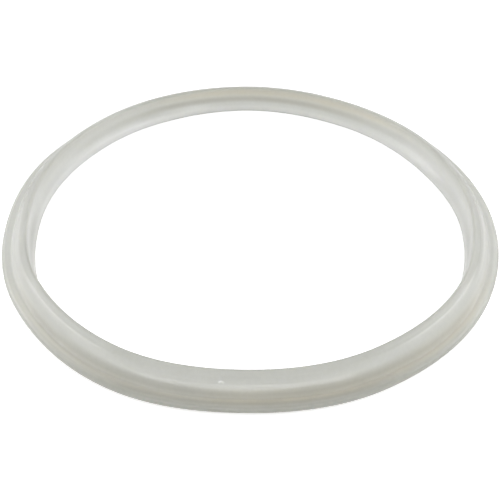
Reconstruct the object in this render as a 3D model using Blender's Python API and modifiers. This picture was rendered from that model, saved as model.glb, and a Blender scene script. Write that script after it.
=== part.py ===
"""Sealing ring of a stovetop pressure cooker, moulded in one piece of silicone.

The ring is one turned body. Its section stands on a flat foot and has, from the outside inwards:
a rounded rim with a flat top, a valley, a crowned outer wall, a ridge whose top band leans outwards,
an upright inner wall, and a lip that flares inwards down to its tip. Under the ridge an annular
channel, open at the foot, leaves the lip and the outer wall free to flex, as a pressure seal needs.

Units are metres, +Z is up, and the origin is the centre of the ring on its foot.
"""

import math

import bmesh
import bpy
from mathutils import Matrix, Vector

# Overall sizes
OUTER_DIAMETER = 0.245
RING_HEIGHT = 0.0141

# Rim: the flat outer flange with a rounded edge
RIM_WIDTH = 0.0047
RIM_THICKNESS = 0.0044
RIM_EDGE_RADIUS = 0.0020
VALLEY_RADIUS = 0.0010

# Outer wall and ridge: the wall is crowned, and the ridge's top band runs from the inner to the
# outer shoulder
SLOPE_RUN = 0.0053
WALL_CROWN = 0.0007
WALL_CROWN_RADIUS = 0.0120
RIDGE_WIDTH = 0.0040
RIDGE_LEAN = math.radians(25)
OUTER_SHOULDER_RADIUS = 0.0025
INNER_SHOULDER_RADIUS = 0.0013

# Inner lip: how high it starts, how far its tip reaches inwards, and the width of the tip
LIP_HEIGHT = 0.0080
LIP_FLARE = 0.0022
LIP_TIP_WIDTH = 0.0018
LIP_TIP_RADIUS = 0.0006
LIP_ROOT_RADIUS = 0.0160

# Channel under the ridge: the walls beside it, its rounded roof and its edges on the foot
OUTER_WALL = 0.0030
INNER_WALL = 0.0024
CHANNEL_ROOF_RADIUS = 0.0010
CHANNEL_EDGE_RADIUS = 0.0004

# Facets: steps of the turn, the largest and fewest steps along an arc, and the share of a side
# that a fillet may use
TURN_STEPS = 80
ARC_STEP = math.radians(24)
FEWEST_ARC_STEPS = 2
SIDE_SHARE = 0.48
MERGE_DISTANCE = 0.00001

SILICONE_COLOUR = (0.70, 0.70, 0.65, 1.0)
SILICONE_ROUGHNESS = 0.38


def clear_scene():
    """Remove every object that the opened file brings with it."""
    for thing in list(bpy.data.objects):
        bpy.data.objects.remove(thing, do_unlink=True)


def make_collection(name):
    """Make a collection for the part and link it to the scene."""
    collection = bpy.data.collections.new(name)
    bpy.context.scene.collection.children.link(collection)
    return collection


def make_silicone():
    """Milky, satin silicone rubber."""
    material = bpy.data.materials.new("silicone")
    material.use_nodes = True
    shader = material.node_tree.nodes["Principled BSDF"]
    shader.inputs["Base Color"].default_value = SILICONE_COLOUR
    shader.inputs["Roughness"].default_value = SILICONE_ROUGHNESS
    shader.inputs["Metallic"].default_value = 0.0
    material.diffuse_color = SILICONE_COLOUR
    return material


def crossing(start_a, end_a, start_b, end_b):
    """Point where two straight lines of the section meet."""
    along_a = end_a - start_a
    along_b = end_b - start_b
    reach = (start_b - start_a).cross(along_b) / along_a.cross(along_b)
    return start_a + along_a * reach


def inset(start, end, wall):
    """A side of the section moved into the material by a wall, for a section drawn clockwise."""
    along = (end - start).normalized()
    inwards = Vector((along.y, -along.x)) * wall
    return start + inwards, end + inwards


def ridge_corner(wall_radius):
    """Corner over the inner wall whose rounding peaks at the ring's height and meets the band."""
    rise = (1 + math.sin(RIDGE_LEAN)) / math.cos(RIDGE_LEAN) - 1
    return Vector((wall_radius, RING_HEIGHT + INNER_SHOULDER_RADIUS * rise))


def crown_corner(shoulder, valley):
    """Corner halfway down the outer wall, raised off the straight line by the crown."""
    raised_start, raised_end = inset(shoulder, valley, -WALL_CROWN)
    return (raised_start + raised_end) / 2


def channel_corners(ridge, shoulder, valley, lip_root):
    """Corners of the channel: its outer edge on the foot and its roof under the ridge."""
    outer_side = inset(shoulder, valley, OUTER_WALL)
    inner_side = inset(lip_root, ridge, INNER_WALL)
    foot = (Vector((0.0, 0.0)), Vector((valley.x, 0.0)))
    return crossing(*outer_side, *foot), crossing(*outer_side, *inner_side)


def section_corners():
    """Corners of the section as (point, fillet radius), from the ridge down the outer side."""
    outer_radius = OUTER_DIAMETER / 2
    valley = Vector((outer_radius - RIM_WIDTH, RIM_THICKNESS))
    ridge = ridge_corner(valley.x - SLOPE_RUN - RIDGE_WIDTH)
    shoulder = Vector((valley.x - SLOPE_RUN, ridge.y - RIDGE_WIDTH * math.tan(RIDGE_LEAN)))
    lip_root = Vector((ridge.x, LIP_HEIGHT))
    tip_inner = Vector((ridge.x - LIP_FLARE, 0.0))
    tip_outer = Vector((tip_inner.x + LIP_TIP_WIDTH, 0.0))
    channel_edge, channel_roof = channel_corners(ridge, shoulder, valley, lip_root)
    return [
        (ridge, INNER_SHOULDER_RADIUS),
        (shoulder, OUTER_SHOULDER_RADIUS),
        (crown_corner(shoulder, valley), WALL_CROWN_RADIUS),
        (valley, VALLEY_RADIUS),
        (Vector((outer_radius, RIM_THICKNESS)), RIM_EDGE_RADIUS),
        (Vector((outer_radius, 0.0)), RIM_EDGE_RADIUS),
        (channel_edge, CHANNEL_EDGE_RADIUS),
        (channel_roof, CHANNEL_ROOF_RADIUS),
        (tip_outer, CHANNEL_EDGE_RADIUS),
        (tip_inner, LIP_TIP_RADIUS),
        (lip_root, LIP_ROOT_RADIUS),
    ]


def fillet(before, corner, after, radius):
    """Points of the arc that rounds a corner and is tangent to both of its sides."""
    to_before = before - corner
    to_after = after - corner
    corner_angle = math.atan2(to_after.cross(to_before), to_after.dot(to_before))
    half_angle = abs(corner_angle) / 2
    longest_reach = SIDE_SHARE * min(to_before.length, to_after.length)
    reach = min(radius / math.tan(half_angle), longest_reach)
    start = corner + to_before.normalized() * reach
    middle = (to_before.normalized() + to_after.normalized()).normalized()
    centre = corner + middle * (reach / math.cos(half_angle))
    sweep = math.copysign(math.pi, corner_angle) - corner_angle
    steps = max(FEWEST_ARC_STEPS, math.ceil(abs(sweep) / ARC_STEP))
    spokes = (Matrix.Rotation(sweep * step / steps, 2) for step in range(steps + 1))
    return [centre + spoke @ (start - centre) for spoke in spokes]


def section_outline():
    """Closed outline of the section, radius and height, with every corner rounded."""
    corners = section_corners()
    outline = []
    for index, (corner, radius) in enumerate(corners):
        before = corners[index - 1][0]
        after = corners[(index + 1) % len(corners)][0]
        outline.extend(fillet(before, corner, after, radius))
    return outline


def make_section_mesh(name):
    """The outline as a loop of edges in the plane Y = 0."""
    mesh = bpy.data.meshes.new(name)
    loop = bmesh.new()
    points = [loop.verts.new((point.x, 0.0, point.y)) for point in section_outline()]
    for index, point in enumerate(points):
        loop.edges.new((points[index - 1], point))
    loop.to_mesh(mesh)
    loop.free()
    return mesh


def make_sealing_ring(collection):
    """Turn the section about Z into the whole ring."""
    ring = bpy.data.objects.new("sealing_ring", make_section_mesh("sealing_ring"))
    collection.objects.link(ring)
    turn = ring.modifiers.new("turn", "SCREW")
    turn.axis = "Z"
    turn.angle = math.radians(360)
    turn.steps = TURN_STEPS
    turn.render_steps = TURN_STEPS
    turn.use_smooth_shade = True
    turn.use_merge_vertices = True
    turn.merge_threshold = MERGE_DISTANCE
    ring.data.materials.append(make_silicone())
    return ring


def main():
    clear_scene()
    collection = make_collection("pressure_cooker_sealing_ring")
    make_sealing_ring(collection)


if __name__ == "__main__":
    main()
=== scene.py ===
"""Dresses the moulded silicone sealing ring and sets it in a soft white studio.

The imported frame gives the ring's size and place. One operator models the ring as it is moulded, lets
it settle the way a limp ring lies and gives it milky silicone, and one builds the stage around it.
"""

import math
from collections import namedtuple

import bmesh
import bpy
from bpy.props import FloatProperty, FloatVectorProperty, IntProperty, PointerProperty
from mathutils import Matrix, Vector


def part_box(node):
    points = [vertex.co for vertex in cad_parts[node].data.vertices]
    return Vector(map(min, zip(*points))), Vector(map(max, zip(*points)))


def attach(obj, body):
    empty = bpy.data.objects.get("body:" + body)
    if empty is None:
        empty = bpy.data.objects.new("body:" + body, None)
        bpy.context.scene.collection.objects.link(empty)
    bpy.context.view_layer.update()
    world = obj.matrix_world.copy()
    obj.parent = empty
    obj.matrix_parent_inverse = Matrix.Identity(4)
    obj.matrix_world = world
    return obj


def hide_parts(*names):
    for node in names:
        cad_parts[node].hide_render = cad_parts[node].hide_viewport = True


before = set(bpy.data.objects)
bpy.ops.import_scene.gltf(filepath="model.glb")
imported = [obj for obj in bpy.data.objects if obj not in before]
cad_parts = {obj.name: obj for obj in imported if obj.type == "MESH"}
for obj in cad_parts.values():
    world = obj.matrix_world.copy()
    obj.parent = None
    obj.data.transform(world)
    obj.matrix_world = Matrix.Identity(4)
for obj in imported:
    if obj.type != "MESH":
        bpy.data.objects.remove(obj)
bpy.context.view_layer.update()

bl_info = {
    "name": "Sealing Ring Dresser",
    "version": (1, 0, 0),
    "blender": (4, 5, 0),
    "location": "View3D > Sidebar > Sealing Ring",
    "description": "Models a moulded silicone sealing ring and its white studio around a packed frame",
    "category": "Object",
}

RING_NODE = "sealing_ring"
RING_PIECE = "silicone_ring"
NODE_LOW, NODE_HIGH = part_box(RING_NODE)
FOOT_HEIGHT = NODE_LOW[2]
RING_RADIUS = (NODE_HIGH[0] - NODE_LOW[0]) / 2
RING_HEIGHT = NODE_HIGH[2] - NODE_LOW[2]
MILLIMETRE = 0.001
UP = Vector((0.0, 0.0, 1.0))
WHITE = (1.0, 1.0, 1.0, 1.0)

# How far a rounding may use up a side of the section, and how fine its arc and the sides are
SIDE_SHARE = 0.48
ARC_STEP = math.radians(8)
LONGEST_SIDE = 0.7 * MILLIMETRE

# How near two points, two lengths or two doubles have to be to count as the same
PICKING_DISTANCE = 0.01 * MILLIMETRE
SAME_LENGTH = PICKING_DISTANCE / 10
MERGING_DISTANCE = PICKING_DISTANCE / 2
LENGTH_DIGITS = 7

# The section's smaller roundings, and the angle past which an edge looks sharp
CROWN_ROUNDING = 12.0 * MILLIMETRE
FOOT_ROUNDING = 0.4 * MILLIMETRE
CHANNEL_ROUNDING = 1.0 * MILLIMETRE
LIP_TIP_ROUNDING = 0.6 * MILLIMETRE
LIP_ROOT_ROUNDING = 16.0 * MILLIMETRE
SHARP_EDGE = math.radians(50)

# Where the top of the ridge lies, and how thin the rubber looks along the way from the lip's tip up
# the inner wall, over the ridge and out to the rim's edge, in millimetres. The levels also hold painted
# light and shade: dark lines painted at the lip's tip, the inner shoulder, the valley and the rim's
# outer edge, and a rim top painted paler as if lit.
CREST_RADIUS = RING_RADIUS - 13.0 * MILLIMETRE
THINNESS_AND_PAINTED_SHADING = (
    (0.0, 0.40),
    (0.6, 0.66),
    (1.5, 0.86),
    (2.8, 0.88),
    (4.3, 0.72),
    (6.2, 0.62),
    (8.2, 0.62),
    (10.2, 0.61),
    (12.1, 0.54),
    (13.1, 0.44),
    (13.8, 0.36),
    (14.3, 0.40),
    (15.0, 0.50),
    (15.8, 0.51),
    (16.6, 0.49),
    (17.3, 0.48),
    (18.1, 0.44),
    (19.3, 0.46),
    (20.4, 0.42),
    (20.9, 0.36),
    (21.5, 0.28),
    (21.9, 0.34),
    (22.9, 0.62),
    (23.8, 0.62),
    (24.8, 0.54),
    (25.9, 0.25),
    (26.5, 0.10),
    (27.1, 0.05),
)

# Patches of painted light and shade, of warmer tint, or of less glossy skin: their bearing clockwise from
# the far side, their half width along the ring in degrees, where they lie across the section, as above,
# and what they add as painted light and shade to how pale the rubber looks, to the warm tint and to the
# glossy skin
Patch = namedtuple(
    "Patch", "bearing half_width across half_height paleness warmth sheen", defaults=(0.0, 0.0, 0.0)
)
PATCHES = (
    # On the lip and the inner wall
    Patch(45, 24, 0.5, 3.0, 0.14),
    Patch(304, 40, 1.5, 4.0, 0.27),
    Patch(252, 27, 4.5, 7.0, -0.27),
    Patch(110, 28, 5.0, 8.0, -0.25),
    Patch(287, 24, 6.5, 4.5, 0.18),
    Patch(74, 28, 7.0, 4.5, 0.26),
    Patch(0, 48, 7.5, 2.6, -0.26, 0.4),
    Patch(48, 24, 10.8, 3.0, 0.08),
    Patch(12, 50, 11.5, 4.0, 0.0, 1.0),
    # On the crest of the ridge
    Patch(180, 60, 13.7, 0.7, -0.26),
    Patch(128, 18, 13.9, 0.7, -0.10),
    Patch(270, 18, 13.9, 0.8, 0.14),
    Patch(355, 40, 13.9, 0.9, -0.14),
    Patch(100, 34, 14.2, 1.3, 0.14),
    Patch(74, 5, 15.0, 0.8, -0.12),
    Patch(40, 30, 15.4, 1.6, -0.16),
    Patch(58, 8, 15.5, 0.9, -0.12),
    Patch(228, 20, 15.6, 1.4, 0.08),
    Patch(312, 20, 15.6, 1.6, -0.08),
    Patch(136, 16, 15.8, 1.4, 0.08),
    # On the ridge's top band and shoulder
    Patch(266, 14, 17.0, 3.0, 0.12),
    Patch(106, 14, 17.2, 1.1, -0.08),
    Patch(86, 34, 17.8, 1.6, -0.20),
    Patch(276, 26, 18.2, 1.8, -0.12),
    Patch(180, 50, 18.4, 2.0, 0.12),
    Patch(279, 10, 18.4, 3.0, -0.13, 0.0, -0.45),
    Patch(289, 26, 18.4, 2.6, -0.16),
    Patch(70, 26, 18.6, 2.3, -0.20),
    Patch(78, 10, 18.9, 2.0, -0.15, 0.0, -0.40),
    Patch(104, 16, 18.9, 1.3, 0.08),
    Patch(130, 24, 19.0, 1.8, -0.08),
    Patch(232, 24, 19.0, 1.8, -0.08),
    # On the outer wall
    Patch(181, 14, 20.6, 0.7, 0.12),
    Patch(204, 24, 20.8, 1.6, -0.17),
    Patch(157, 24, 21.0, 1.6, -0.11),
    Patch(94, 34, 21.6, 2.0, 0.32),
    Patch(267, 36, 21.6, 2.0, 0.46),
    Patch(180, 40, 22.1, 1.0, -0.09),
    Patch(128, 22, 22.6, 1.2, -0.08),
    Patch(233, 22, 22.6, 1.2, -0.08),
    # On the valley and the rim
    Patch(148, 48, 23.0, 4.3, 0.0, 0.85),
    Patch(205, 50, 23.5, 4.5, 0.0, 0.6),
    Patch(132, 24, 24.2, 2.2, 0.12),
    Patch(90, 60, 24.5, 3.5, 0.18),
    Patch(270, 60, 24.5, 3.5, 0.22),
    Patch(227, 24, 24.6, 2.2, 0.22),
    Patch(180, 44, 24.8, 1.8, -0.24),
    Patch(102, 30, 25.4, 1.6, 0.28),
    Patch(259, 34, 26.0, 1.4, 0.20),
    # On the mould's nub: a painted highlight
    Patch(185.4, 0.8, 18.7, 0.55, 0.42),
)

# The small nub that the mould leaves on the outer shoulder: its place, how far it reaches along the
# surface and rises off it, and how wide and how finely the rubber around it is divided
NUB_BEARING = 185.5
NUB_RADIUS = 113.95 * MILLIMETRE
NUB_HEIGHT = 11.2 * MILLIMETRE
NUB_REACH = 1.3 * MILLIMETRE
NUB_RISE = 0.45 * MILLIMETRE
NUB_SURROUNDINGS = 1.6 * NUB_REACH
NUB_CUTS = 3

SectionCorner = namedtuple("SectionCorner", "place rounding")

# A push of the whole section or of one part of it, towards the axis where the depth is positive. The
# bearing runs clockwise from the far side, seen from above; the depth is in millimetres.
Push = namedtuple("Push", "zone bearing depth")
WHOLE, RIM, LIP = "whole", "rim", "lip"
SETTLING = (
    Push(WHOLE, 0, -0.5),
    Push(WHOLE, 30, 0.9),
    Push(WHOLE, 60, 0.3),
    Push(WHOLE, 120, -1.2),
    Push(WHOLE, 180, 1.4),
    Push(WHOLE, 210, -0.9),
    Push(WHOLE, 240, -0.3),
    Push(WHOLE, 270, 2.2),
    Push(WHOLE, 300, 0.8),
    Push(WHOLE, 330, -0.5),
    Push(RIM, 120, 1.0),
    Push(RIM, 150, 0.6),
    Push(RIM, 180, 0.7),
    Push(RIM, 210, 0.6),
    Push(RIM, 240, 1.5),
    Push(RIM, 270, 0.3),
    Push(LIP, 0, -0.3),
    Push(LIP, 30, 0.2),
    Push(LIP, 60, 2.1),
    Push(LIP, 90, 0.5),
    Push(LIP, 270, 0.3),
    Push(LIP, 300, 1.4),
    Push(LIP, 330, 1.1),
)

# Where a push takes hold, as a share of the ring's radius, how far it reaches, and how wide the rim
# and the lip fade out where they join the rest of the section
HOLD_SHARE = 0.93
PUSH_REACH = 60 * MILLIMETRE
RIM_FADE = 4.8 * MILLIMETRE
LIP_FADE_HEIGHT = 2.0 * MILLIMETRE


class RingShape(bpy.types.PropertyGroup):
    """Sizes of the ring's section."""

    rim_width: FloatProperty(
        name="Rim width",
        description="Flat outer band, from the valley to the outer edge",
        default=4.7 * MILLIMETRE,
        unit="LENGTH",
    )
    rim_thickness: FloatProperty(
        name="Rim thickness",
        description="Height of the outer band over the foot",
        default=4.4 * MILLIMETRE,
        unit="LENGTH",
    )
    rim_rounding: FloatProperty(
        name="Rim rounding",
        description="Radius of the rim's outer edges",
        default=2.0 * MILLIMETRE,
        unit="LENGTH",
    )
    valley_rounding: FloatProperty(
        name="Valley rounding",
        description="Radius between the rim and the outer wall",
        default=1.0 * MILLIMETRE,
        unit="LENGTH",
    )
    wall_run: FloatProperty(
        name="Outer wall run",
        description="How far the outer wall leans inwards from the valley to the ridge",
        default=5.3 * MILLIMETRE,
        unit="LENGTH",
    )
    wall_crown: FloatProperty(
        name="Outer wall crown",
        description="How far the outer wall bulges off the straight line",
        default=0.7 * MILLIMETRE,
        unit="LENGTH",
    )
    ridge_width: FloatProperty(
        name="Ridge width",
        description="Top band between the inner wall and the outer shoulder",
        default=4.0 * MILLIMETRE,
        unit="LENGTH",
    )
    ridge_lean: FloatProperty(
        name="Ridge lean",
        description="Outward slope of the top band",
        default=math.radians(25),
        subtype="ANGLE",
    )
    outer_shoulder: FloatProperty(
        name="Outer shoulder",
        description="Radius between the top band and the outer wall",
        default=2.5 * MILLIMETRE,
        unit="LENGTH",
    )
    inner_shoulder: FloatProperty(
        name="Inner shoulder",
        description="Radius between the top band and the inner wall",
        default=1.3 * MILLIMETRE,
        unit="LENGTH",
    )
    lip_height: FloatProperty(
        name="Lip height",
        description="Height at which the lip leaves the inner wall",
        default=8.0 * MILLIMETRE,
        unit="LENGTH",
    )
    lip_flare: FloatProperty(
        name="Lip flare",
        description="How far the lip's tip reaches inwards of the wall above it",
        default=2.2 * MILLIMETRE,
        unit="LENGTH",
    )
    lip_thickness: FloatProperty(
        name="Lip thickness",
        description="Width of the lip's tip on the foot",
        default=1.8 * MILLIMETRE,
        unit="LENGTH",
    )
    outer_wall: FloatProperty(
        name="Outer wall",
        description="Wall that the channel leaves outside it",
        default=3.0 * MILLIMETRE,
        unit="LENGTH",
    )
    inner_wall: FloatProperty(
        name="Inner wall",
        description="Wall that the channel leaves inside it",
        default=2.4 * MILLIMETRE,
        unit="LENGTH",
    )
    turn_steps: IntProperty(
        name="Steps round the ring",
        description="Faces round the ring",
        default=480,
        min=64,
    )


class SiliconeLook(bpy.types.PropertyGroup):
    """Colour and surface of the silicone."""

    # The thick colour also serves as painted shade, and the thin colour as painted light, wherever the
    # section's ramp and the patches put them.
    thick_and_shaded_colour: FloatVectorProperty(
        name="Thick silicone",
        description="Duller, warmer colour where the moulding is thick",
        default=(0.377, 0.380, 0.342),
        subtype="COLOR",
    )
    thin_and_lit_colour: FloatVectorProperty(
        name="Thin silicone",
        description="Paler, milkier colour where the moulding is thin",
        default=(0.826, 0.834, 0.792),
        subtype="COLOR",
    )
    warm_tint: FloatVectorProperty(
        name="Warm tint",
        description="What the warm patches multiply the colour by",
        default=(0.99, 0.95, 0.87),
        subtype="COLOR",
    )
    gloss_roughness: FloatProperty(
        name="Roughness",
        description="Roughness of the clean moulded surface",
        default=0.35,
        subtype="FACTOR",
    )
    skin_gloss: FloatProperty(
        name="Skin gloss",
        description="How strongly the thin glossy skin of the moulding reflects",
        default=0.5,
        subtype="FACTOR",
    )
    scatter_depth: FloatProperty(
        name="Scatter depth",
        description="How far light travels in the milky rubber",
        default=3.0 * MILLIMETRE,
        unit="LENGTH",
    )


class StudioLook(bpy.types.PropertyGroup):
    """Camera, floor and lamps of the studio."""

    camera_distance: FloatProperty(
        name="Camera distance",
        description="From the middle of the ring's rim to the camera",
        default=0.547,
        unit="LENGTH",
    )
    camera_elevation: FloatProperty(
        name="Camera elevation",
        description="Angle of the camera over the plane of the ring",
        default=math.radians(39.33),
        subtype="ANGLE",
    )
    camera_drop: FloatProperty(
        name="Camera drop",
        description="How far below the ring's middle the camera aims",
        default=0.0209,
        subtype="ANGLE",
    )
    camera_pan: FloatProperty(
        name="Camera pan",
        description="How far to the right of the ring's middle the camera aims",
        default=0.00204,
        subtype="ANGLE",
    )
    camera_roll: FloatProperty(
        name="Camera roll",
        description="Turn of the camera about its own line of sight",
        default=0.0100,
        subtype="ANGLE",
    )
    lens: FloatProperty(
        name="Lens",
        description="Focal length in millimetres on a 36 mm sensor",
        default=79.3,
        min=1.0,
    )
    floor_colour: FloatVectorProperty(
        name="Floor",
        description="Colour of the pale floor",
        default=(0.86, 0.86, 0.86),
        subtype="COLOR",
    )
    floor_glow: FloatVectorProperty(
        name="Floor glow",
        description="What the camera sees on top of the floor's own light near the ring",
        default=(0.58, 0.58, 0.58),
        subtype="COLOR",
    )
    room_level: FloatProperty(
        name="Room level",
        description="Even light from the whole room",
        default=0.0,
        min=0.0,
    )
    lamp_level: FloatProperty(
        name="Lamp level",
        description="One factor on all softboxes",
        default=1.0,
        min=0.0,
    )


class Strand:
    """A number that varies over a surface; arithmetic on it adds Math nodes to the tree."""

    def __init__(self, tree, socket):
        self.tree = tree
        self.socket = socket

    def joined(self, operation, *others):
        node = self.tree.nodes.new("ShaderNodeMath")
        node.operation = operation
        for slot, other in zip(node.inputs, others):
            plug(self.tree, other, slot)
        return Strand(self.tree, node.outputs[0])

    def __add__(self, other):
        return self.joined("ADD", self, other)

    def __sub__(self, other):
        return self.joined("SUBTRACT", self, other)

    def __rsub__(self, other):
        return self.joined("SUBTRACT", other, self)

    def __mul__(self, other):
        return self.joined("MULTIPLY", self, other)

    def __truediv__(self, other):
        return self.joined("DIVIDE", self, other)

    __radd__ = __add__
    __rmul__ = __mul__

    def root(self):
        return self.joined("SQRT", self)


def plug(tree, source, slot):
    """Link a strand or a socket to a slot, or write a plain value on it."""
    if isinstance(source, Strand):
        tree.links.new(source.socket, slot)
    elif isinstance(source, bpy.types.NodeSocket):
        tree.links.new(source, slot)
    else:
        slot.default_value = source


# Places of a colour Mix node's two colours and of its result among its sockets
MIX_FIRST, MIX_SECOND, MIX_RESULT = 6, 7, 2


class Finish:
    """A material being built: its shader and the nodes that feed it."""

    def __init__(self, name):
        self.material = bpy.data.materials.new(name)
        self.material.use_nodes = True
        self.tree = self.material.node_tree
        self.tree.nodes.clear()

    def node(self, kind, settings=None, inputs=None):
        """Add a node: its settings first, then the values or links of its sockets."""
        node = self.tree.nodes.new(kind)
        for name, setting in (settings or {}).items():
            setattr(node, name, setting)
        for name, source in (inputs or {}).items():
            plug(self.tree, source, node.inputs[name])
        return node

    def strand(self, kind, settings=None, inputs=None, output=0):
        """Add a node and carry on with one of its numbers."""
        return Strand(self.tree, self.node(kind, settings, inputs).outputs[output])

    def smooth_step(self, value, low, high):
        """0 below low, 1 above high, with a smooth rise between them."""
        limits = {"Value": value, "From Min": low, "From Max": high}
        return self.strand("ShaderNodeMapRange", {"interpolation_type": "SMOOTHSTEP"}, limits)

    def noise(self, place, pattern):
        """Soft noise, about 0.5 on average."""
        inputs = {"Vector": place, "Scale": pattern.scale, "Detail": pattern.detail}
        return self.strand("ShaderNodeTexNoise", {"noise_dimensions": "3D"}, inputs)

    def set_stops(self, ramp, stops):
        """Give a colour ramp its grey stops, as (position, level)."""
        elements = ramp.color_ramp.elements
        while len(elements) > 1:
            elements.remove(elements[-1])
        elements[0].position = stops[0][0]
        elements[0].color = (stops[0][1],) * 3 + (1.0,)
        for position, level in stops[1:]:
            elements.new(position).color = (level,) * 3 + (1.0,)

    def multiplied(self, share, first, second):
        """A colour multiplied by a second one as far as the share says."""
        return self.blended(share, first, second, "MULTIPLY")

    def blended(self, share, first, second, blend_type="MIX"):
        """Two colours mixed by a share, as a colour socket."""
        settings = {"data_type": "RGBA", "blend_type": blend_type}
        mix = self.node("ShaderNodeMix", settings, {"Factor": share})
        plug(self.tree, first, mix.inputs[MIX_FIRST])
        plug(self.tree, second, mix.inputs[MIX_SECOND])
        return mix.outputs[MIX_RESULT]


def deselect_all():
    """Leave nothing selected and edit mode closed."""
    if bpy.context.object and bpy.context.object.mode != "OBJECT":
        bpy.ops.object.mode_set(mode="OBJECT")
    bpy.ops.object.select_all(action="DESELECT")


def make_active(piece):
    """Select one object alone."""
    deselect_all()
    piece.select_set(True)
    bpy.context.view_layer.objects.active = piece


def opaque_colour(colour):
    """A property's colour with full alpha."""
    return (*colour, 1.0)


def bearing_direction(degrees):
    """Outward direction at a bearing, clockwise from the far side."""
    angle = math.radians(degrees)
    return Vector((math.sin(angle), math.cos(angle), 0.0))


def meet(start_a, end_a, start_b, end_b):
    """Point where two straight lines of the section meet."""
    along_a = end_a - start_a
    along_b = end_b - start_b
    reach = (start_b - start_a).cross(along_b) / along_a.cross(along_b)
    return start_a + along_a * reach


def moved_inwards(start, end, wall):
    """A side of the section moved into the rubber, for a section drawn clockwise."""
    along = (end - start).normalized()
    inwards = Vector((along.y, -along.x)) * wall
    return start + inwards, end + inwards


def section_corners(shape):
    """Corners of the section, radius and height, from the ridge down the outer side."""
    slope = math.tan(shape.ridge_lean)
    valley = Vector((RING_RADIUS - shape.rim_width, shape.rim_thickness))
    wall_radius = valley.x - shape.wall_run - shape.ridge_width
    rise = (1 + math.sin(shape.ridge_lean)) / math.cos(shape.ridge_lean) - 1
    ridge = Vector((wall_radius, RING_HEIGHT + shape.inner_shoulder * rise))
    shoulder = Vector((valley.x - shape.wall_run, ridge.y - shape.ridge_width * slope))
    crown_start, crown_end = moved_inwards(shoulder, valley, -shape.wall_crown)
    lip_root = Vector((wall_radius, shape.lip_height))
    tip_inner = Vector((wall_radius - shape.lip_flare, 0.0))
    tip_outer = Vector((tip_inner.x + shape.lip_thickness, 0.0))
    outer_side = moved_inwards(shoulder, valley, shape.outer_wall)
    inner_side = moved_inwards(lip_root, ridge, shape.inner_wall)
    foot = (Vector((0.0, 0.0)), Vector((valley.x, 0.0)))
    return [
        SectionCorner(ridge, shape.inner_shoulder),
        SectionCorner(shoulder, shape.outer_shoulder),
        SectionCorner((crown_start + crown_end) / 2, CROWN_ROUNDING),
        SectionCorner(valley, shape.valley_rounding),
        SectionCorner(Vector((RING_RADIUS, shape.rim_thickness)), shape.rim_rounding),
        SectionCorner(Vector((RING_RADIUS, 0.0)), shape.rim_rounding),
        SectionCorner(meet(*outer_side, *foot), FOOT_ROUNDING),
        SectionCorner(meet(*outer_side, *inner_side), CHANNEL_ROUNDING),
        SectionCorner(tip_outer, FOOT_ROUNDING),
        SectionCorner(tip_inner, LIP_TIP_ROUNDING),
        SectionCorner(lip_root, LIP_ROOT_ROUNDING),
    ]


def on_section_plane(place):
    """A point of the section on the plane Y = 0."""
    return Vector((place.x, 0.0, place.y + FOOT_HEIGHT))


def draw_outline(corners):
    """Draw the section's straight sides from corner to corner, as a closed wire."""
    deselect_all()
    bpy.ops.mesh.primitive_plane_add(size=MILLIMETRE, location=on_section_plane(corners[0].place))
    outline = bpy.context.object
    bpy.ops.object.transform_apply(location=True, rotation=True, scale=True)
    bpy.ops.object.mode_set(mode="EDIT")
    bpy.ops.mesh.select_all(action="SELECT")
    bpy.ops.mesh.merge(type="CENTER")
    for before, corner in zip(corners, corners[1:]):
        step = on_section_plane(corner.place) - on_section_plane(before.place)
        bpy.ops.mesh.extrude_vertices_move(TRANSFORM_OT_translate={"value": step})
    pick_points(outline, [corners[0].place, corners[-1].place])
    bpy.ops.mesh.edge_face_add()
    return outline


def pick_points(outline, places):
    """Select the outline's points at these places and nothing else."""
    targets = [on_section_plane(place) for place in places]
    drawing = bmesh.from_edit_mesh(outline.data)
    for point in drawing.verts:
        point.select = any((point.co - target).length < PICKING_DISTANCE for target in targets)
    drawing.select_flush_mode()
    bmesh.update_edit_mesh(outline.data)


def round_corners(outline, corners):
    """Bevel each corner so that its arc is tangent to both sides."""
    for index, corner in enumerate(corners):
        to_before = corners[index - 1].place - corner.place
        to_after = corners[(index + 1) % len(corners)].place - corner.place
        half_angle = to_before.angle(to_after) / 2
        longest = SIDE_SHARE * min(to_before.length, to_after.length)
        reach = min(corner.rounding / math.tan(half_angle), longest)
        steps = max(2, math.ceil((math.pi - 2 * half_angle) / ARC_STEP))
        pick_points(outline, [corner.place])
        bpy.ops.mesh.bevel(offset=reach, segments=steps, affect="VERTICES", profile=0.5)


def divide_long_sides(outline):
    """Cut each long straight side so that the rubber can bend there."""
    bpy.ops.mesh.select_all(action="DESELECT")
    drawing = bmesh.from_edit_mesh(outline.data)
    lengths = {round(side.calc_length(), LENGTH_DIGITS) for side in drawing.edges}
    for length in sorted(lengths, reverse=True):
        if length <= LONGEST_SIDE:
            break
        drawing = bmesh.from_edit_mesh(outline.data)
        for side in drawing.edges:
            side.select = abs(side.calc_length() - length) < SAME_LENGTH
        drawing.select_flush_mode()
        bmesh.update_edit_mesh(outline.data)
        bpy.ops.mesh.subdivide(number_cuts=math.ceil(length / LONGEST_SIDE) - 1)


def spin_round(outline, steps):
    """Spin the outline about the ring's axis into a closed skin."""
    bpy.ops.mesh.select_all(action="SELECT")
    bpy.ops.mesh.spin(steps=steps, angle=math.tau, center=(0, 0, 0), axis=(0, 0, 1))
    bpy.ops.mesh.select_all(action="SELECT")
    bpy.ops.mesh.remove_doubles(threshold=MERGING_DISTANCE)
    bpy.ops.mesh.normals_make_consistent(inside=False)
    bpy.ops.object.mode_set(mode="OBJECT")


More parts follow.
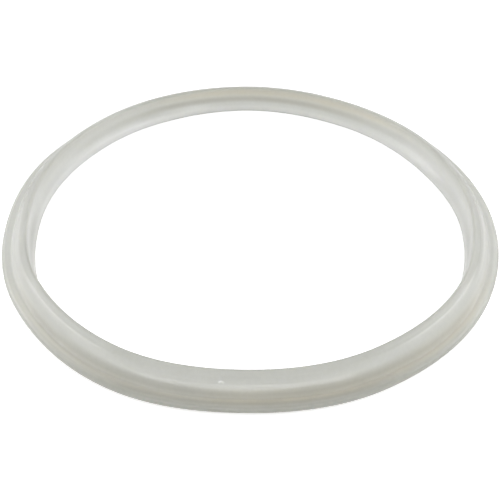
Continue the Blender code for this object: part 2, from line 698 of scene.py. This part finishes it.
def raise_nub(ring):
    """Raise the mould's nub from the finely divided rubber around it."""
    place = bearing_direction(NUB_BEARING) * NUB_RADIUS + UP * (FOOT_HEIGHT + NUB_HEIGHT)
    make_active(ring)
    bpy.ops.object.mode_set(mode="EDIT")
    bpy.ops.mesh.select_all(action="DESELECT")
    bpy.ops.mesh.select_mode(type="FACE")
    skin = bmesh.from_edit_mesh(ring.data)
    for face in skin.faces:
        face.select = (face.calc_center_median() - place).length < NUB_SURROUNDINGS
    bmesh.update_edit_mesh(ring.data)
    bpy.ops.mesh.subdivide(number_cuts=NUB_CUTS, smoothness=1.0)
    bpy.ops.mesh.select_mode(type="VERT")
    bpy.ops.mesh.select_all(action="DESELECT")
    skin = bmesh.from_edit_mesh(ring.data)
    peak = min(skin.verts, key=lambda point: (point.co - place).length)
    peak.select = True
    rise = peak.normal * NUB_RISE
    bmesh.update_edit_mesh(ring.data)
    bpy.ops.transform.translate(
        value=rise,
        use_proportional_edit=True,
        proportional_edit_falloff="SMOOTH",
        proportional_size=NUB_REACH,
        use_proportional_connected=True,
    )
    bpy.ops.object.mode_set(mode="OBJECT")


def smooth_share(value, low, high):
    """0 below low, 1 above high, with a smooth rise between them."""
    share = min(1.0, max(0.0, (value - low) / (high - low)))
    return share * share * (3 - 2 * share)


def mark_zones(ring, shape):
    """Weigh each point as rim or lip, for the pushes to hold on to."""
    groups = {zone: ring.vertex_groups.new(name=zone) for zone in (WHOLE, RIM, LIP)}
    valley_radius = RING_RADIUS - shape.rim_width
    for point in ring.data.vertices:
        radius = point.co.xy.length
        height = point.co.z - FOOT_HEIGHT
        rim = smooth_share(radius, valley_radius - RIM_FADE, valley_radius)
        lip = (1 - rim) * (1 - smooth_share(height, LIP_FADE_HEIGHT, shape.lip_height))
        for zone, share in ((WHOLE, 1.0), (RIM, rim), (LIP, lip)):
            groups[zone].add([point.index], share, "REPLACE")


def keep_moulded_place(ring):
    """Store where each point was moulded, so that the finish follows the surface."""
    moulded = ring.data.attributes.new("moulded_place", "FLOAT_VECTOR", "POINT")
    places = [number for point in ring.data.vertices for number in point.co]
    moulded.data.foreach_set("vector", places)


def settle(ring, push):
    """Hook one zone of the ring and push it, fading smoothly along the ring."""
    outwards = bearing_direction(push.bearing)
    place = outwards * (RING_RADIUS * HOLD_SHARE) + UP * FOOT_HEIGHT
    bpy.ops.object.empty_add(location=place)
    handle = bpy.context.object
    make_active(ring)
    hook = ring.modifiers.new("settling", "HOOK")
    hook.object = handle
    hook.vertex_group = push.zone
    hook.center = place
    hook.matrix_inverse = Matrix.Translation(place).inverted()
    hook.falloff_type = "SMOOTH"
    hook.falloff_radius = PUSH_REACH
    handle.location = place - outwards * push.depth * MILLIMETRE
    bpy.context.view_layer.update()
    bpy.ops.object.modifier_apply(modifier=hook.name)
    bpy.data.objects.remove(handle)


def way_across(radius, height):
    """How far a point lies from the lip's tip, up the inner wall and over the ridge to the rim."""
    inside = height.joined("LESS_THAN", radius, CREST_RADIUS)
    over_crest = (radius - CREST_RADIUS).joined("MAXIMUM", radius - CREST_RADIUS, 0.0)
    return (height * inside + (1 - inside) * RING_HEIGHT + over_crest) * (1 / MILLIMETRE)


def thinness_and_painted_shading_across(finish, across):
    """How thin and pale the rubber looks across the section, 0 in the thick root and 1 at the lip, with
    painted light and shade in it: dark lines at the lip's tip, the inner shoulder, the valley and the
    rim's outer edge, and a paler rim top.
    """
    ramp = finish.node("ShaderNodeValToRGB", {"label": "Thinness and painted shading across the section"})
    finish.set_stops(ramp, [(place / THINNESS_AND_PAINTED_SHADING[-1][0], level) for place, level in THINNESS_AND_PAINTED_SHADING])
    plug(finish.tree, across * (1 / THINNESS_AND_PAINTED_SHADING[-1][0]), ramp.inputs["Fac"])
    return Strand(finish.tree, ramp.outputs["Color"])


def sum_of_patches(finish, east, north, radius, across):
    """What the patches add up to, painted light and shade among it, each fading out smoothly on all
    sides.
    """
    sums = {"paleness": 0.0, "warmth": 0.0, "sheen": 0.0}
    for patch in PATCHES:
        towards = bearing_direction(patch.bearing)
        facing = (east * towards.x + north * towards.y) / radius
        along = finish.smooth_step(facing, math.cos(math.radians(patch.half_width)), 1.0)
        off_middle = (across - patch.across).joined("ABSOLUTE", across - patch.across)
        share = along * finish.smooth_step(off_middle, patch.half_height, 0.0)
        for effect in sums:
            strength = getattr(patch, effect)
            if strength:
                sums[effect] = share * strength + sums[effect]
    return sums


# Noise patterns in and on the silicone, how fine they are, and how far each sways what it works on
Pattern = namedtuple("Pattern", "scale detail sway")
CLOUDS = Pattern(55.0, 3.0, 0.10)
MOTTLING = Pattern(600.0, 2.0, 0.10)
SMUDGES = Pattern(140.0, 4.0, 0.12)
GRAIN = Pattern(1400.0, 2.0, 0.2)
GRAIN_DEPTH = 0.05 * MILLIMETRE

# How the clouds break up the warm patches, and the least that is left of a patch between them
WARMTH_SWAY = 0.8
WARMTH_LEAST = 0.6

# Optics of silicone rubber: its body, its moulded skin, and how far each colour of light scatters
BODY_IOR = 1.41
BODY_SPECULAR = 0.4
SKIN_IOR = 1.45
SKIN_ROUGHNESS = 0.13
SCATTER_BY_COLOUR = (1.0, 1.0, 0.9)


def make_silicone(look):
    """Milky satin silicone: clouded body, paler where it is thin, with painted light and shade across the
    section and in patches, under a thin glossy skin.
    """
    finish = Finish("milky_silicone")
    moulded = finish.node("ShaderNodeAttribute", {"attribute_name": "moulded_place"})
    place = moulded.outputs["Vector"]
    split = finish.node("ShaderNodeSeparateXYZ", None, {"Vector": place})
    east, north, height = (Strand(finish.tree, socket) for socket in split.outputs)
    radius = (east * east + north * north).root()
    across = way_across(radius, height)

    clouds = finish.noise(place, CLOUDS)
    mottling = finish.noise(place, MOTTLING)
    smudges = finish.noise(place, SMUDGES)
    grain = finish.noise(place, GRAIN)
    patches = sum_of_patches(finish, east, north, radius, across)
    # Painted light and shade from the ramp and the patches goes into this blend, besides how thin the
    # rubber is and its clouds.
    thinness_and_painted_shading = thinness_and_painted_shading_across(finish, across) + patches["paleness"]
    thinness_and_painted_shading = thinness_and_painted_shading + (clouds - 0.5) * CLOUDS.sway + (mottling - 0.5) * MOTTLING.sway
    thick, thin, tint = map(opaque_colour, (look.thick_and_shaded_colour, look.thin_and_lit_colour, look.warm_tint))
    body = finish.blended(thinness_and_painted_shading, thick, thin)
    warmth = patches["warmth"] * (clouds * WARMTH_SWAY + WARMTH_LEAST)
    colour = finish.multiplied(warmth, body, tint)

    roughness = look.gloss_roughness + (smudges - 0.5) * SMUDGES.sway
    relief_inputs = {"Strength": GRAIN.sway, "Distance": GRAIN_DEPTH, "Height": grain}
    relief = finish.node("ShaderNodeBump", None, relief_inputs)
    shader = finish.node(
        "ShaderNodeBsdfPrincipled",
        {"subsurface_method": "RANDOM_WALK"},
        {
            "Base Color": colour,
            "Roughness": roughness,
            "Normal": relief.outputs["Normal"],
            "IOR": BODY_IOR,
            "Specular IOR Level": BODY_SPECULAR,
            "Coat Weight": patches["sheen"] + look.skin_gloss,
            "Coat Roughness": SKIN_ROUGHNESS,
            "Coat IOR": SKIN_IOR,
            "Subsurface Weight": 1.0,
            "Subsurface Radius": SCATTER_BY_COLOUR,
            "Subsurface Scale": look.scatter_depth,
        },
    )
    finish.node("ShaderNodeOutputMaterial", None, {"Surface": shader.outputs["BSDF"]})
    finish.material.diffuse_color = thin
    return finish.material


class SEALING_RING_OT_mould(bpy.types.Operator):
    """Model the moulded ring from its section and let it settle"""

    bl_idname = "sealing_ring.mould"
    bl_label = "Mould the ring"

    def execute(self, context):
        shape = context.scene.ring_shape
        corners = section_corners(shape)
        ring = draw_outline(corners)
        round_corners(ring, corners)
        divide_long_sides(ring)
        spin_round(ring, shape.turn_steps)
        ring.name = ring.data.name = RING_PIECE
        raise_nub(ring)
        mark_zones(ring, shape)
        keep_moulded_place(ring)
        for push in SETTLING:
            settle(ring, push)
        make_active(ring)
        bpy.ops.object.shade_smooth_by_angle(angle=SHARP_EDGE)
        ring.data.materials.append(make_silicone(context.scene.silicone_look))
        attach(ring, "root")
        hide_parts(RING_NODE)
        return {"FINISHED"}


# A softbox: its bearing clockwise from the far side, its elevation, how far it stands from the ring's
# middle, its width and height in metres, and its power in watts
Softbox = namedtuple("Softbox", "name bearing elevation distance width height power")
SOFTBOXES = (
    Softbox("front_strip", 180, 8, 1.0, 1.6, 0.22, 4.7),
    Softbox("front_right", 130, 10, 1.0, 0.7, 0.3, 0.8),
    Softbox("front_left", 230, 10, 1.0, 0.7, 0.3, 0.85),
    Softbox("side_right", 90, 10, 1.0, 0.8, 0.35, 1.4),
    Softbox("side_left", 270, 10, 1.0, 0.8, 0.35, 1.5),
    Softbox("high_right", 90, 28, 1.0, 0.8, 0.35, 3.1),
    Softbox("high_left", 270, 28, 1.0, 0.8, 0.35, 3.0),
    Softbox("rear_right", 48, 42, 1.0, 1.3, 0.9, 2.6),
    Softbox("rear_left", 312, 42, 1.0, 1.3, 0.9, 2.4),
    Softbox("overhead", 180, 75, 1.0, 0.9, 0.7, 1.9),
)


def hang_softbox(box, level):
    """Add one rectangular lamp that faces the ring's middle."""
    elevation = math.radians(box.elevation)
    outwards = bearing_direction(box.bearing) * math.cos(elevation) + UP * math.sin(elevation)
    place = outwards * box.distance
    deselect_all()
    turn = outwards.to_track_quat("Z", "Y").to_euler()
    bpy.ops.object.light_add(type="AREA", location=place, rotation=turn)
    lamp = bpy.context.object
    lamp.name = lamp.data.name = box.name
    lamp.data.shape = "RECTANGLE"
    lamp.data.size = box.width
    lamp.data.size_y = box.height
    lamp.data.energy = box.power * level


# Size of the floor in metres, and how far from the ring's middle its glow starts to rise and is white
FLOOR_SIZE = 6.0
GLOW_STARTS = 0.25
GLOW_WHITE = 1.2

# Height over the foot that the camera is aimed from, the width of its sensor in millimetres, and how
# near it sees, in metres
AIM_HEIGHT = 2.2 * MILLIMETRE
SENSOR_WIDTH = 36.0
NEAREST_SEEN = 0.01


def seen_directly(tree):
    """1 for rays from the camera, from gloss and through glass, 0 for light spread by matt surfaces."""
    rays = tree.nodes.new("ShaderNodeLightPath")
    camera = Strand(tree, rays.outputs["Is Camera Ray"])
    gloss = camera.joined("MAXIMUM", camera, rays.outputs["Is Glossy Ray"])
    return gloss.joined("MAXIMUM", gloss, rays.outputs["Is Transmission Ray"])


def make_floor_finish(look):
    """Pale floor that is seen as white, but for the ring's faint shadow."""
    finish = Finish("pale_floor")
    place = finish.node("ShaderNodeTexCoord").outputs["Object"]
    split = finish.node("ShaderNodeSeparateXYZ", None, {"Vector": place})
    east, north = (Strand(finish.tree, split.outputs[name]) for name in ("X", "Y"))
    away = finish.smooth_step((east * east + north * north).root(), GLOW_STARTS, GLOW_WHITE)
    glow_colour = finish.blended(away, opaque_colour(look.floor_glow), WHITE)
    matt_colour = opaque_colour(look.floor_colour)
    diffuse = finish.node("ShaderNodeBsdfDiffuse", None, {"Color": matt_colour})
    glow = finish.node("ShaderNodeEmission", None, {"Color": glow_colour, "Strength": 1.0})
    lifted = finish.node("ShaderNodeAddShader")
    plug(finish.tree, diffuse.outputs["BSDF"], lifted.inputs[0])
    plug(finish.tree, glow.outputs["Emission"], lifted.inputs[1])
    surface = finish.node("ShaderNodeMixShader", None, {"Fac": seen_directly(finish.tree)})
    plug(finish.tree, diffuse.outputs["BSDF"], surface.inputs[1])
    plug(finish.tree, lifted.outputs["Shader"], surface.inputs[2])
    finish.node("ShaderNodeOutputMaterial", None, {"Surface": surface.outputs["Shader"]})
    return finish.material


def lay_floor(look):
    """A wide plain floor at the ring's foot."""
    deselect_all()
    bpy.ops.mesh.primitive_plane_add(size=FLOOR_SIZE, location=(0.0, 0.0, FOOT_HEIGHT))
    floor = bpy.context.object
    floor.name = floor.data.name = "studio_floor"
    bpy.ops.object.transform_apply(location=True, rotation=True, scale=True)
    floor.data.materials.append(make_floor_finish(look))


def light_room(strength):
    """Soft light from the whole room, seen as plain white by the camera."""
    world = bpy.data.worlds.new("white_room")
    world.use_nodes = True
    tree = world.node_tree
    tree.nodes.clear()
    room = tree.nodes.new("ShaderNodeBackground")
    room.inputs["Color"].default_value = WHITE
    level = seen_directly(tree) * (1 - strength) + strength
    plug(tree, level, room.inputs["Strength"])
    output = tree.nodes.new("ShaderNodeOutputWorld")
    plug(tree, room.outputs["Background"], output.inputs["Surface"])
    bpy.context.scene.world = world


def place_camera(look):
    """Put the camera over the near edge of the ring and aim it."""
    middle = Vector((0.0, 0.0, FOOT_HEIGHT + AIM_HEIGHT))
    elevation = look.camera_elevation
    back_off = Vector((0.0, -math.cos(elevation), math.sin(elevation))) * look.camera_distance
    deselect_all()
    bpy.ops.object.camera_add(location=middle + back_off)
    camera = bpy.context.object
    camera.name = camera.data.name = "studio_camera"
    pitch = Matrix.Rotation(math.pi / 2 - elevation - look.camera_drop, 4, "X")
    pan = Matrix.Rotation(-look.camera_pan, 4, "Z")
    roll = Matrix.Rotation(look.camera_roll, 4, "Z")
    camera.rotation_euler = (pan @ pitch @ roll).to_euler()
    camera.data.lens = look.lens
    camera.data.sensor_width = SENSOR_WIDTH
    camera.data.clip_start = NEAREST_SEEN
    bpy.context.scene.camera = camera


class SEALING_RING_OT_stage(bpy.types.Operator):
    """Lay the floor, hang the softboxes and place the camera"""

    bl_idname = "sealing_ring.stage"
    bl_label = "Build the stage"

    def execute(self, context):
        look = context.scene.ring_studio
        place_camera(look)
        lay_floor(look)
        light_room(look.room_level)
        for box in SOFTBOXES:
            hang_softbox(box, look.lamp_level)
        context.scene.view_settings.view_transform = "Standard"
        return {"FINISHED"}


class VIEW3D_PT_sealing_ring(bpy.types.Panel):
    """Sizes, finish and stage of the sealing ring"""

    bl_idname = "VIEW3D_PT_sealing_ring"
    bl_label = "Sealing Ring"
    bl_space_type = "VIEW_3D"
    bl_region_type = "UI"
    bl_category = "Sealing Ring"

    def draw(self, context):
        scene = context.scene
        for title, group in (
            ("Section", scene.ring_shape),
            ("Silicone", scene.silicone_look),
            ("Studio", scene.ring_studio),
        ):
            box = self.layout.box()
            box.label(text=title)
            for name in group.__annotations__:
                box.prop(group, name)
        self.layout.operator(SEALING_RING_OT_mould.bl_idname)
        self.layout.operator(SEALING_RING_OT_stage.bl_idname)


CLASSES = (
    RingShape,
    SiliconeLook,
    StudioLook,
    SEALING_RING_OT_mould,
    SEALING_RING_OT_stage,
    VIEW3D_PT_sealing_ring,
)


def register():
    for entry in CLASSES:
        bpy.utils.register_class(entry)
    bpy.types.Scene.ring_shape = PointerProperty(type=RingShape)
    bpy.types.Scene.silicone_look = PointerProperty(type=SiliconeLook)
    bpy.types.Scene.ring_studio = PointerProperty(type=StudioLook)


def unregister():
    del bpy.types.Scene.ring_studio
    del bpy.types.Scene.silicone_look
    del bpy.types.Scene.ring_shape
    for entry in reversed(CLASSES):
        bpy.utils.unregister_class(entry)


def main():
    register()
    bpy.ops.sealing_ring.mould()
    bpy.ops.sealing_ring.stage()


if __name__ == "__main__":
    main()
